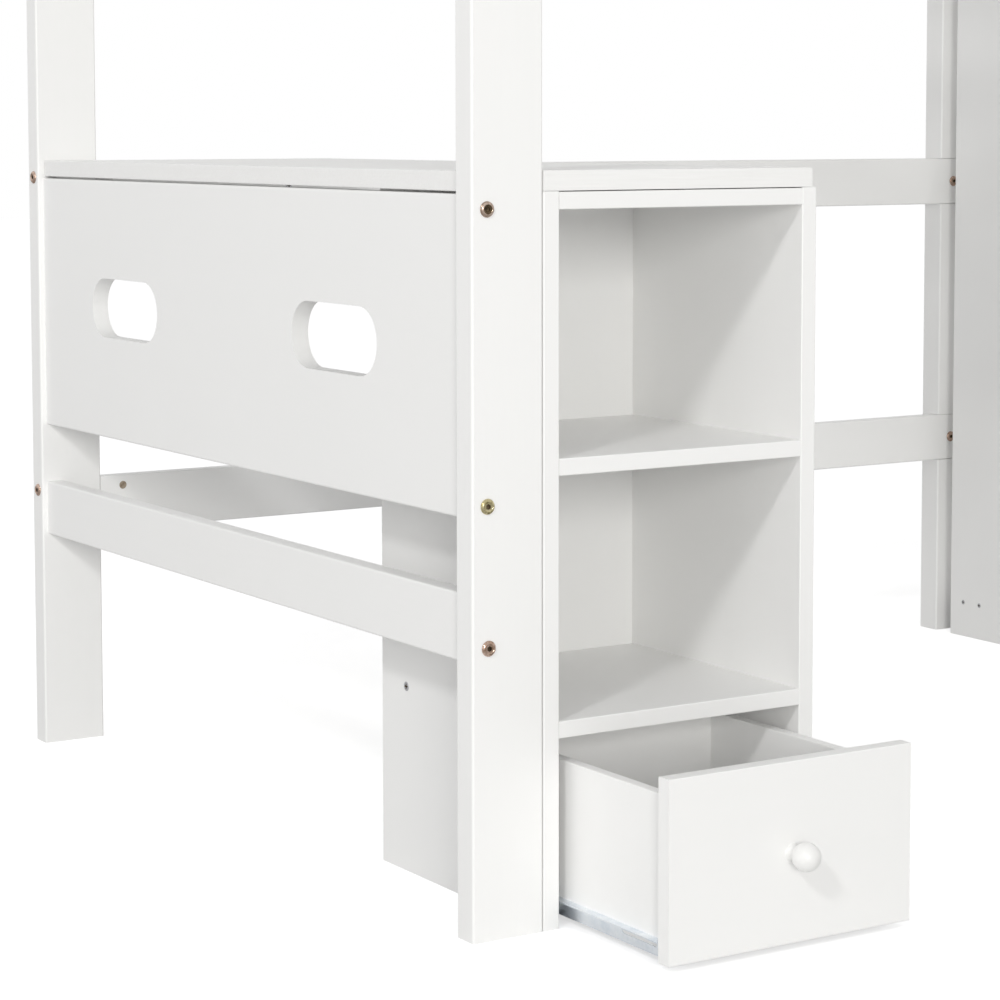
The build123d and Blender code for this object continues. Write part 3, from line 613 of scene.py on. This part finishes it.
class Lathe:
    """Builds turned forms ring by ring in one mesh."""

    def __init__(self, segments: int = 36) -> None:
        """Starts an empty mesh whose rings have the given number of points."""
        self.shape = bmesh.new()
        self.segments = segments

    def ring(self, frame_at: Matrix, height: float, radius: Callable[[float], float]) -> Ring:
        """Adds one ring of points about a frame's Z axis.

        Args:
            frame_at: the form's own frame.
            height: the ring's place along the axis.
            radius: distance from the axis at each angle.

        Returns:
            The ring's points in order.
        """
        spots = []
        for index in range(self.segments):
            angle = math.tau * index / self.segments
            reach = radius(angle)
            spot = frame_at @ Vector((reach * math.cos(angle), reach * math.sin(angle), height))
            spots.append(self.shape.verts.new(spot))
        return spots

    def turn(
        self,
        frame_at: Matrix,
        profile: Profile,
        slot: int = 0,
        recess: tuple[int, int] | None = None,
    ) -> None:
        """Skins the rings of a profile and caps both ends.

        Args:
            frame_at: the form's own frame, turned about its Z axis.
            profile: height and radius of each ring, the radius a number or a function of the angle.
            slot: material slot of the new faces.
            recess: the ring from which another slot begins, and that slot.
        """
        rings = []
        for height, radius in profile:
            reach = radius if callable(radius) else (lambda angle, value=radius: value)
            rings.append(self.ring(frame_at, height, reach))
        change, inner = recess or (len(rings) + 1, slot)
        faces = []
        for step, (lower, upper) in enumerate(zip(rings, rings[1:])):
            for index in range(self.segments):
                after = (index + 1) % self.segments
                corners = (lower[index], lower[after], upper[after], upper[index])
                faces.append((self.shape.faces.new(corners), step))
        faces.append((self.shape.faces.new(list(reversed(rings[0]))), 0))
        faces.append((self.shape.faces.new(rings[-1]), len(rings)))
        for face, step in faces:
            face.material_index = inner if step >= change else slot
            face.smooth = True

    def piece(
        self,
        name: str,
        materials: Sequence[bpy.types.Material],
        crease: float = 0.5,
    ) -> bpy.types.Object:
        """Turns the mesh into an object of the scene.

        Args:
            name: the piece's name.
            materials: its finishes, in slot order.
            crease: edges that turn more than this many radians stay sharp.

        Returns:
            The new object.
        """
        bmesh.ops.recalc_face_normals(self.shape, faces=self.shape.faces)
        for edge in self.shape.edges:
            edge.smooth = len(edge.link_faces) == 2 and edge.calc_face_angle(0.0) < crease
        mesh = bpy.data.meshes.new(name)
        self.shape.to_mesh(mesh)
        self.shape.free()
        for material in materials:
            mesh.materials.append(material)
        made = bpy.data.objects.new(name, mesh)
        bpy.context.scene.collection.objects.link(made)
        LOG.info("built %s: %d faces", name, len(mesh.polygons))
        return made


def hexagon(across: float) -> Callable[[float], float]:
    """Gives the outline of a hexagon.

    Args:
        across: width across flats.

    Returns:
        The distance from the middle to the outline at each angle.
    """

    def reach(angle: float) -> float:
        """Distance from the middle to the outline."""
        half_side = math.pi / 6
        turn = (angle + half_side) % (math.pi / 3) - half_side
        return across / 2 / math.cos(turn)

    return reach


def cross(arm: float, half_width: float) -> Callable[[float], float]:
    """Gives the outline of a cross.

    Args:
        arm: length of an arm from the middle.
        half_width: half the width of an arm.

    Returns:
        The distance from the middle to the outline at each angle.
    """
    tiny = 1e-6

    def reach(angle: float) -> float:
        """Distance from the middle to the outline."""
        along, aside = abs(math.cos(angle)), abs(math.sin(angle))
        level = min(arm / max(along, tiny), half_width / max(aside, tiny))
        upright = min(arm / max(aside, tiny), half_width / max(along, tiny))
        return max(level, upright)

    return reach


@dataclass
class FrameBolts:
    """Furniture bolts with low domed heads and hexagon sockets, in three platings, with painted shade in the
    recess.

    The dome gives heights above the head's seat and the dish depths under its crown, each with
    its share of the head's radius. The rings are counted from the shank's end.
    """

    head_radius: float = 0.00775
    head_height: float = 0.0026
    shank_radius: float = 0.003
    shank_chamfer: tuple[float, float] = (0.0009, 0.7)
    dome: tuple[tuple[float, float], ...] = ((0.0013, 0.95), (0.0019, 0.87), (0.0023, 0.78))
    dish: tuple[tuple[float, float], ...] = (
        (0.0001, 0.71),
        (0.0, 0.65),
        (0.0001, 0.61),
        (0.0005, 0.56),
        (0.0006, 0.5),
    )
    socket: float = 0.0042
    socket_mouth: tuple[float, float] = (0.0006, 1.16)
    socket_wall: tuple[float, float] = (0.0009, 0.0021)
    socket_cone: tuple[float, float] = (0.0004, 0.0009)
    # Rings from which the recess takes painted shade, on bronze heads and on the others
    dish_ring: int = 11
    socket_ring: int = 14
    brass_band: tuple[float, float] = (0.4, 0.45)
    bronze_above: float = 0.65
    bronze_nearer: float = 0.5

    def profile(self, length: float) -> Profile:
        """Draws a bolt's half outline from the shank's end to the socket's floor.

        Args:
            length: the bolt's whole length.

        Returns:
            Heights and radii, with the head's crown at height 0.
        """
        seat = -self.head_height
        rim = self.head_radius
        chamfer, taper = self.shank_chamfer
        mouth, widening = self.socket_mouth
        wall_top, wall_end = self.socket_wall
        cone_depth, cone_radius = self.socket_cone
        sharp = hexagon(self.socket)
        return [
            (-length, self.shank_radius * taper),
            (-length + chamfer, self.shank_radius),
            (seat, self.shank_radius),
            (seat, rim - 0.0004),
            (seat + 0.0003, rim),
            (seat + 0.0008, rim - 0.0001),
            *((seat + rise, rim * share) for rise, share in self.dome),
            *((-depth, rim * share) for depth, share in self.dish),
            (-mouth, hexagon(self.socket * widening)),
            (-wall_top, sharp),
            (-wall_end, sharp),
            (-wall_end - cone_depth, cone_radius),
        ]

    def plating(self, place: Vector) -> Plating:
        """Picks a bolt's plating by its place, after the three tints that the photograph shows.

        Args:
            place: the head's place.

        Returns:
            The plating of the head.
        """
        low, high = self.brass_band
        if low < place.z < high:
            return Plating.BRASS
        if place.z > self.bronze_above and place.y < self.bronze_nearer:
            return Plating.BRONZE
        return Plating.COPPER

    def build(self, shop: PaintShop) -> bpy.types.Object:
        """Builds every bolt where the frame holds it.

        Args:
            shop: the finishes.

        Returns:
            The bolts as one piece.
        """
        lathe = Lathe()
        for low, high, spots in solids_of("frame_bolts"):
            tip, outward, length = head_place(low, high, spots)
            plating = self.plating(tip)
            # Painted shade darkens the recess: from the dish on for bronze heads, from the socket on for the
            # others
            start = self.dish_ring if plating is Plating.BRONZE else self.socket_ring
            recess = (start, Plating.RECESS_SHADE.value)
            lathe.turn(facing(tip, outward), self.profile(length), plating.value, recess=recess)
        made = lathe.piece("bolts_socket_head", [shop.bolts[kind] for kind in Plating])
        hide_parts("frame_bolts")
        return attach(made, "bed_frame")


@dataclass
class CrossScrews:
    """Zinc screws with low heads and cross recesses, the recesses in painted shade, the cabinet's with
    larger heads.
    """

    head_radius: float = 0.00345
    cabinet_head_radius: float = 0.005
    cabinet_zone: tuple[float, float] = (0.42, 0.74)
    head_height: float = 0.001
    edge: float = 0.0002
    crown: float = 0.0003
    shank_radius: float = 0.0017
    point_length: float = 0.004
    arm_share: float = 0.62
    half_width_share: float = 0.17
    segments: int = 40
    # Ring from which the cross recess takes painted shade
    recess_ring: int = 8

    def profile(self, length: float, rim: float) -> Profile:
        """Draws a screw's half outline from the point to the floor of the recess.

        Args:
            length: the screw's whole length.
            rim: the head's radius.

        Returns:
            Heights and radii, with the board's face at height 0.
        """
        seat = -self.head_height
        arm = rim * self.arm_share
        half_width = rim * self.half_width_share
        return [
            (-length, self.edge),
            (-length + self.point_length, self.shank_radius),
            (seat, self.shank_radius),
            (seat, rim - self.edge),
            (seat + self.edge, rim),
            (0.0, rim),
            (self.crown * 0.6, rim - self.edge),
            (self.crown, rim * 0.85),
            (self.crown, cross(arm, half_width)),
            (-0.0005, cross(arm * 0.75, half_width * 0.8)),
            (-0.0012, 0.0004),
        ]

    def rim(self, place: Vector) -> float:
        """Radius of a head by place, as the photograph shows a larger one on the cabinet."""
        reach, height = self.cabinet_zone
        return self.cabinet_head_radius if place.x < reach and place.z < height else self.head_radius

    def build(self, shop: PaintShop) -> bpy.types.Object:
        """Builds every screw where the frame holds it.

        Args:
            shop: the finishes.

        Returns:
            The screws as one piece.
        """
        lathe = Lathe(self.segments)
        for low, high, spots in solids_of("flush_screws"):
            tip, outward, length = head_place(low, high, spots)
            profile = self.profile(length, self.rim(tip))
            lathe.turn(facing(tip, outward), profile, recess=(self.recess_ring, 1))
        # The cross recess takes the bolts' dark recess colour as painted shade
        made = lathe.piece("screws_cross_head", (shop.screw, shop.bolts[Plating.RECESS_SHADE]))
        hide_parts("flush_screws")
        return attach(made, "bed_frame")


@dataclass
class DrawerKnob:
    """A turned ball knob with a flared neck."""

    ball_radius: float = 0.014
    neck_radius: float = 0.0062
    foot_radius: float = 0.009
    neck_length: float = 0.0085
    neck_steps: int = 8
    throat_widening: float = 1.1
    ball_steps: int = 24
    nose_angle: float = 0.02
    segments: int = 64
    crease: float = 0.8

    def profile(self) -> Profile:
        """Draws the knob's half outline.

        Returns:
            Heights and radii from the seat to the nose.
        """
        points: Profile = [(0.0, self.foot_radius * 0.6), (0.0, self.foot_radius)]
        for step in range(1, self.neck_steps + 1):
            share = step / self.neck_steps
            flare = (self.foot_radius - self.neck_radius) * (1 - share) ** 2
            points.append((self.neck_length * share, self.neck_radius + flare))
        low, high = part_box("drawer_knob")
        centre = (high.y - low.y) - self.ball_radius
        start = math.asin(self.neck_radius * self.throat_widening / self.ball_radius)
        for step in range(self.ball_steps + 1):
            angle = start + (math.pi - start - self.nose_angle) * step / self.ball_steps
            height = centre - self.ball_radius * math.cos(angle)
            points.append((height, self.ball_radius * math.sin(angle)))
        return points

    def build(self, shop: PaintShop) -> bpy.types.Object:
        """Turns the knob on its seat on the drawer front.

        Args:
            shop: the finishes.

        Returns:
            The knob.
        """
        low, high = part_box("drawer_knob")
        seat = Vector(((low.x + high.x) / 2, high.y, (low.z + high.z) / 2))
        lathe = Lathe(self.segments)
        lathe.turn(facing(seat, Vector((0.0, -1.0, 0.0))), self.profile())
        made = lathe.piece("knob_turned", (shop.knob,), self.crease)
        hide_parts("drawer_knob")
        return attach(made, "drawer")


@dataclass
class BedFrame:
    """Corner posts, back rails, the leg and the boards of both ends."""

    timber: tuple[str, ...] = (
        "post_front_left",
        "post_back_left",
        "post_front_right",
        "post_back_right",
        "back_leg",
        "back_rail_low",
        "back_rail_desk",
        "end_rail_left",
        "end_rail_right",
    )
    panels: tuple[str, ...] = ("end_panel_slotted",)

    def finish(self, shop: PaintShop) -> None:
        """Paints the boards, each with its grain along it.

        Args:
            shop: the finishes.
        """
        for name in self.timber:
            dress([name], shop.timber[grain_of(name)])
        for name in self.panels:
            dress([name], shop.panel[grain_of(name)])


@dataclass
class SleepingDeck:
    """Deck rails, ledgers, slats, guard rails and the gateway's stiles."""

    boards: tuple[str, ...] = (
        "deck_rail_front",
        "deck_rail_back",
        "deck_end_left",
        "deck_end_right",
        "slat_ledger_front",
        "slat_ledger_back",
        "guard_front_left",
        "guard_front_right",
        "guard_back",
        "guard_end_left",
        "guard_end_right",
    )

    def finish(self, shop: PaintShop) -> None:
        """Paints the rails along their length, the slats across the bed and the stiles upright.

        Args:
            shop: the finishes.
        """
        for name in self.boards:
            dress([name], shop.timber[grain_of(name)])
        dress(["slats"], shop.timber[Grain.ALONG_Y])
        dress(["guard_stiles"], shop.timber[Grain.ALONG_Z])


@dataclass
class Ladder:
    """Two upright sides and the treads between them."""

    def finish(self, shop: PaintShop) -> None:
        """Paints the sides and the treads."""
        dress(["ladder_side_left", "ladder_side_right"], shop.timber[Grain.ALONG_Z])
        dress(["ladder_treads"], shop.timber[Grain.ALONG_X])


@dataclass
class Desk:
    """The desk top and the cleat under its back edge."""

    def finish(self, shop: PaintShop) -> None:
        """Paints the top with a grain stronger than the other boards' all over, and the cleat; on the desk
        the grain shows most along the front edge.
        """
        dress(["desk_top"], shop.desk)
        dress(["desk_cleat"], shop.timber[Grain.ALONG_X])


@dataclass
class CubbyCabinet:
    """The open cabinet under the desk."""

    boards: tuple[str, ...] = (
        "cabinet_side_left",
        "cabinet_side_right",
        "cabinet_top",
        "cabinet_shelf_upper",
        "cabinet_shelf_lower",
        "cabinet_back",
    )

    def finish(self, shop: PaintShop) -> None:
        """Paints the cabinet's boards."""
        for name in self.boards:
            dress([name], shop.panel[grain_of(name)])


@dataclass
class Drawer:
    """The drawer box on its roller slides."""

    boards: tuple[str, ...] = (
        "drawer_front",
        "drawer_side_left",
        "drawer_side_right",
        "drawer_back",
        "drawer_base",
    )
    knob: DrawerKnob = field(default_factory=DrawerKnob)

    def finish(self, shop: PaintShop) -> None:
        """Paints the boards, plates the slides and turns the knob.

        Args:
            shop: the finishes.
        """
        for name in self.boards:
            dress([name], shop.panel[grain_of(name)])
        for side in ("left", "right"):
            dress([f"slide_channel_{side}", f"slide_runner_{side}"], shop.zinc)
            dress([f"slide_roller_front_{side}", f"slide_roller_rear_{side}"], shop.nylon)
        self.knob.build(shop)


@dataclass
class TallUnit:
    """The tall open shelf unit at the right end."""

    boards: tuple[str, ...] = (
        "tall_side_left",
        "tall_side_right",
        "tall_base",
        "tall_top",
        "tall_shelf_1",
        "tall_shelf_2",
        "tall_back",
        "tall_plinth",
    )

    def finish(self, shop: PaintShop) -> None:
        """Paints the boards and plates the shelf pins.

        Args:
            shop: the finishes.
        """
        for name in self.boards:
            dress([name], shop.panel[grain_of(name)])
        dress(["shelf_pins"], shop.screw)


@dataclass
class SmallHardware:
    """Bolts, barrel nuts and screws."""

    bolts: FrameBolts = field(default_factory=FrameBolts)
    screws: CrossScrews = field(default_factory=CrossScrews)

    def finish(self, shop: PaintShop) -> None:
        """Plates the nuts, and builds the bolts and screws.

        Args:
            shop: the finishes.
        """
        dress(["barrel_nuts"], shop.nut)
        self.bolts.build(shop)
        self.screws.build(shop)


@dataclass(frozen=True)
class Softbox:
    """A soft rectangular lamp aimed at a point."""

    name: str
    place: tuple[float, float, float]
    target: tuple[float, float, float]
    size: tuple[float, float]
    power: float
    colour: Colour = (1.0, 1.0, 1.0)

    def build(self) -> bpy.types.Object:
        """Hangs the lamp in the scene.

        Returns:
            The lamp's object.
        """
        lamp = bpy.data.lights.new(self.name, "AREA")
        lamp.shape = "RECTANGLE"
        lamp.size, lamp.size_y = self.size
        lamp.energy = self.power
        lamp.color = self.colour
        made = bpy.data.objects.new(self.name, lamp)
        bpy.context.scene.collection.objects.link(made)
        aim = Vector(self.target) - Vector(self.place)
        turn = aim.to_track_quat("-Z", "Y").to_matrix().to_4x4()
        made.matrix_world = Matrix.Translation(self.place) @ turn
        return made


@dataclass
class Studio:
    """Floor, white surroundings, lamps and the photograph's camera."""

    ambient: float = 0.54
    white: tuple[float, float, float, float] = (1.0, 1.0, 1.0, 1.0)
    floor_size: float = 40.0
    floor_colour: tuple[float, float, float, float] = (0.8, 0.8, 0.8, 1.0)
    floor_roughness: float = 0.9
    floor_specular: float = 0.1
    floor_glow: float = 0.56
    lamps: tuple[Softbox, ...] = (
        Softbox("key", (-6.2, -4.1, 5.6), (0.2, 0.1, 0.45), (0.9, 0.9), 180.0),
        Softbox("front_fill", (-3.6, -8.2, 2.3), (0.3, 0.3, 0.6), (2.0, 2.0), 262.0, (1.0, 0.992, 0.965)),
        Softbox("side_fill", (-9.0, -2.6, 1.5), (0.2, 0.3, 0.5), (2.0, 2.0), 25.0),
    )
    camera_place: tuple[float, float, float] = (-1.407, -2.239, 0.782)
    camera_tilt: float = 85.4
    camera_roll: float = -0.08
    camera_turn: float = -32.16
    sensor_width: float = 36.0
    lens: float = 100.1
    lens_shift: float = -0.15
    sight: float = 60.0

    def build(self) -> None:
        """Builds the studio round the bed."""
        self.world()
        self.floor()
        for lamp in self.lamps:
            lamp.build()
        self.camera()

    def world(self) -> None:
        """Even white light all round, seen by the camera as white."""
        world = bpy.data.worlds.new("studio")
        bpy.context.scene.world = world
        world.use_nodes = True
        graph = ShaderGraph(world.node_tree)
        path = graph.node("LightPath")
        seen = graph.math("MAXIMUM", path.outputs["Is Camera Ray"], path.outputs["Is Glossy Ray"])
        strength = graph.span(seen, 0.0, 1.0, self.ambient, 1.0)
        light = world.node_tree.nodes["Background"]
        light.inputs["Color"].default_value = self.white
        graph.put(light.inputs["Strength"], strength)

    def floor(self) -> None:
        """A wide pale floor that keeps the bed's shadow."""
        half = self.floor_size / 2
        mesh = bpy.data.meshes.new("floor")
        corners = [(-half, -half, 0.0), (half, -half, 0.0), (half, half, 0.0), (-half, half, 0.0)]
        mesh.from_pydata(corners, [], [(0, 1, 2, 3)])
        floor = bpy.data.objects.new("floor", mesh)
        bpy.context.scene.collection.objects.link(floor)
        material, graph, surface = new_material("floor_pale")
        surface.inputs["Base Color"].default_value = self.floor_colour
        surface.inputs["Roughness"].default_value = self.floor_roughness
        surface.inputs["Specular IOR Level"].default_value = self.floor_specular
        surface.inputs["Emission Color"].default_value = self.white
        path = graph.node("LightPath")
        glow = graph.math("MULTIPLY", path.outputs["Is Camera Ray"], self.floor_glow)
        graph.put(surface.inputs["Emission Strength"], glow)
        mesh.materials.append(material)

    def camera(self) -> None:
        """The camera at the photograph's place and angle."""
        lens = bpy.data.cameras.new("camera")
        lens.sensor_width = self.sensor_width
        lens.lens = self.lens
        lens.shift_y = self.lens_shift
        lens.clip_end = self.sight
        made = bpy.data.objects.new("camera", lens)
        bpy.context.scene.collection.objects.link(made)
        turn = Matrix.Rotation(math.radians(self.camera_turn), 4, "Z")
        tilt = Matrix.Rotation(math.radians(self.camera_tilt), 4, "X")
        roll = Matrix.Rotation(math.radians(self.camera_roll), 4, "Z")
        made.matrix_world = Matrix.Translation(self.camera_place) @ turn @ tilt @ roll
        bpy.context.scene.camera = made


def main() -> None:
    """Builds the bed's finishes and small parts, then the studio."""
    logging.basicConfig(level=logging.INFO, format="%(name)s: %(message)s")
    bpy.context.scene.view_settings.view_transform = "Standard"
    shop = PaintShop()
    assemblies = (
        BedFrame(),
        SleepingDeck(),
        Ladder(),
        Desk(),
        CubbyCabinet(),
        Drawer(),
        TallUnit(),
        SmallHardware(),
    )
    for assembly in assemblies:
        assembly.finish(shop)
        LOG.info("finished %s", type(assembly).__name__)
    Studio().build()


if __name__ == "__main__":
    main()
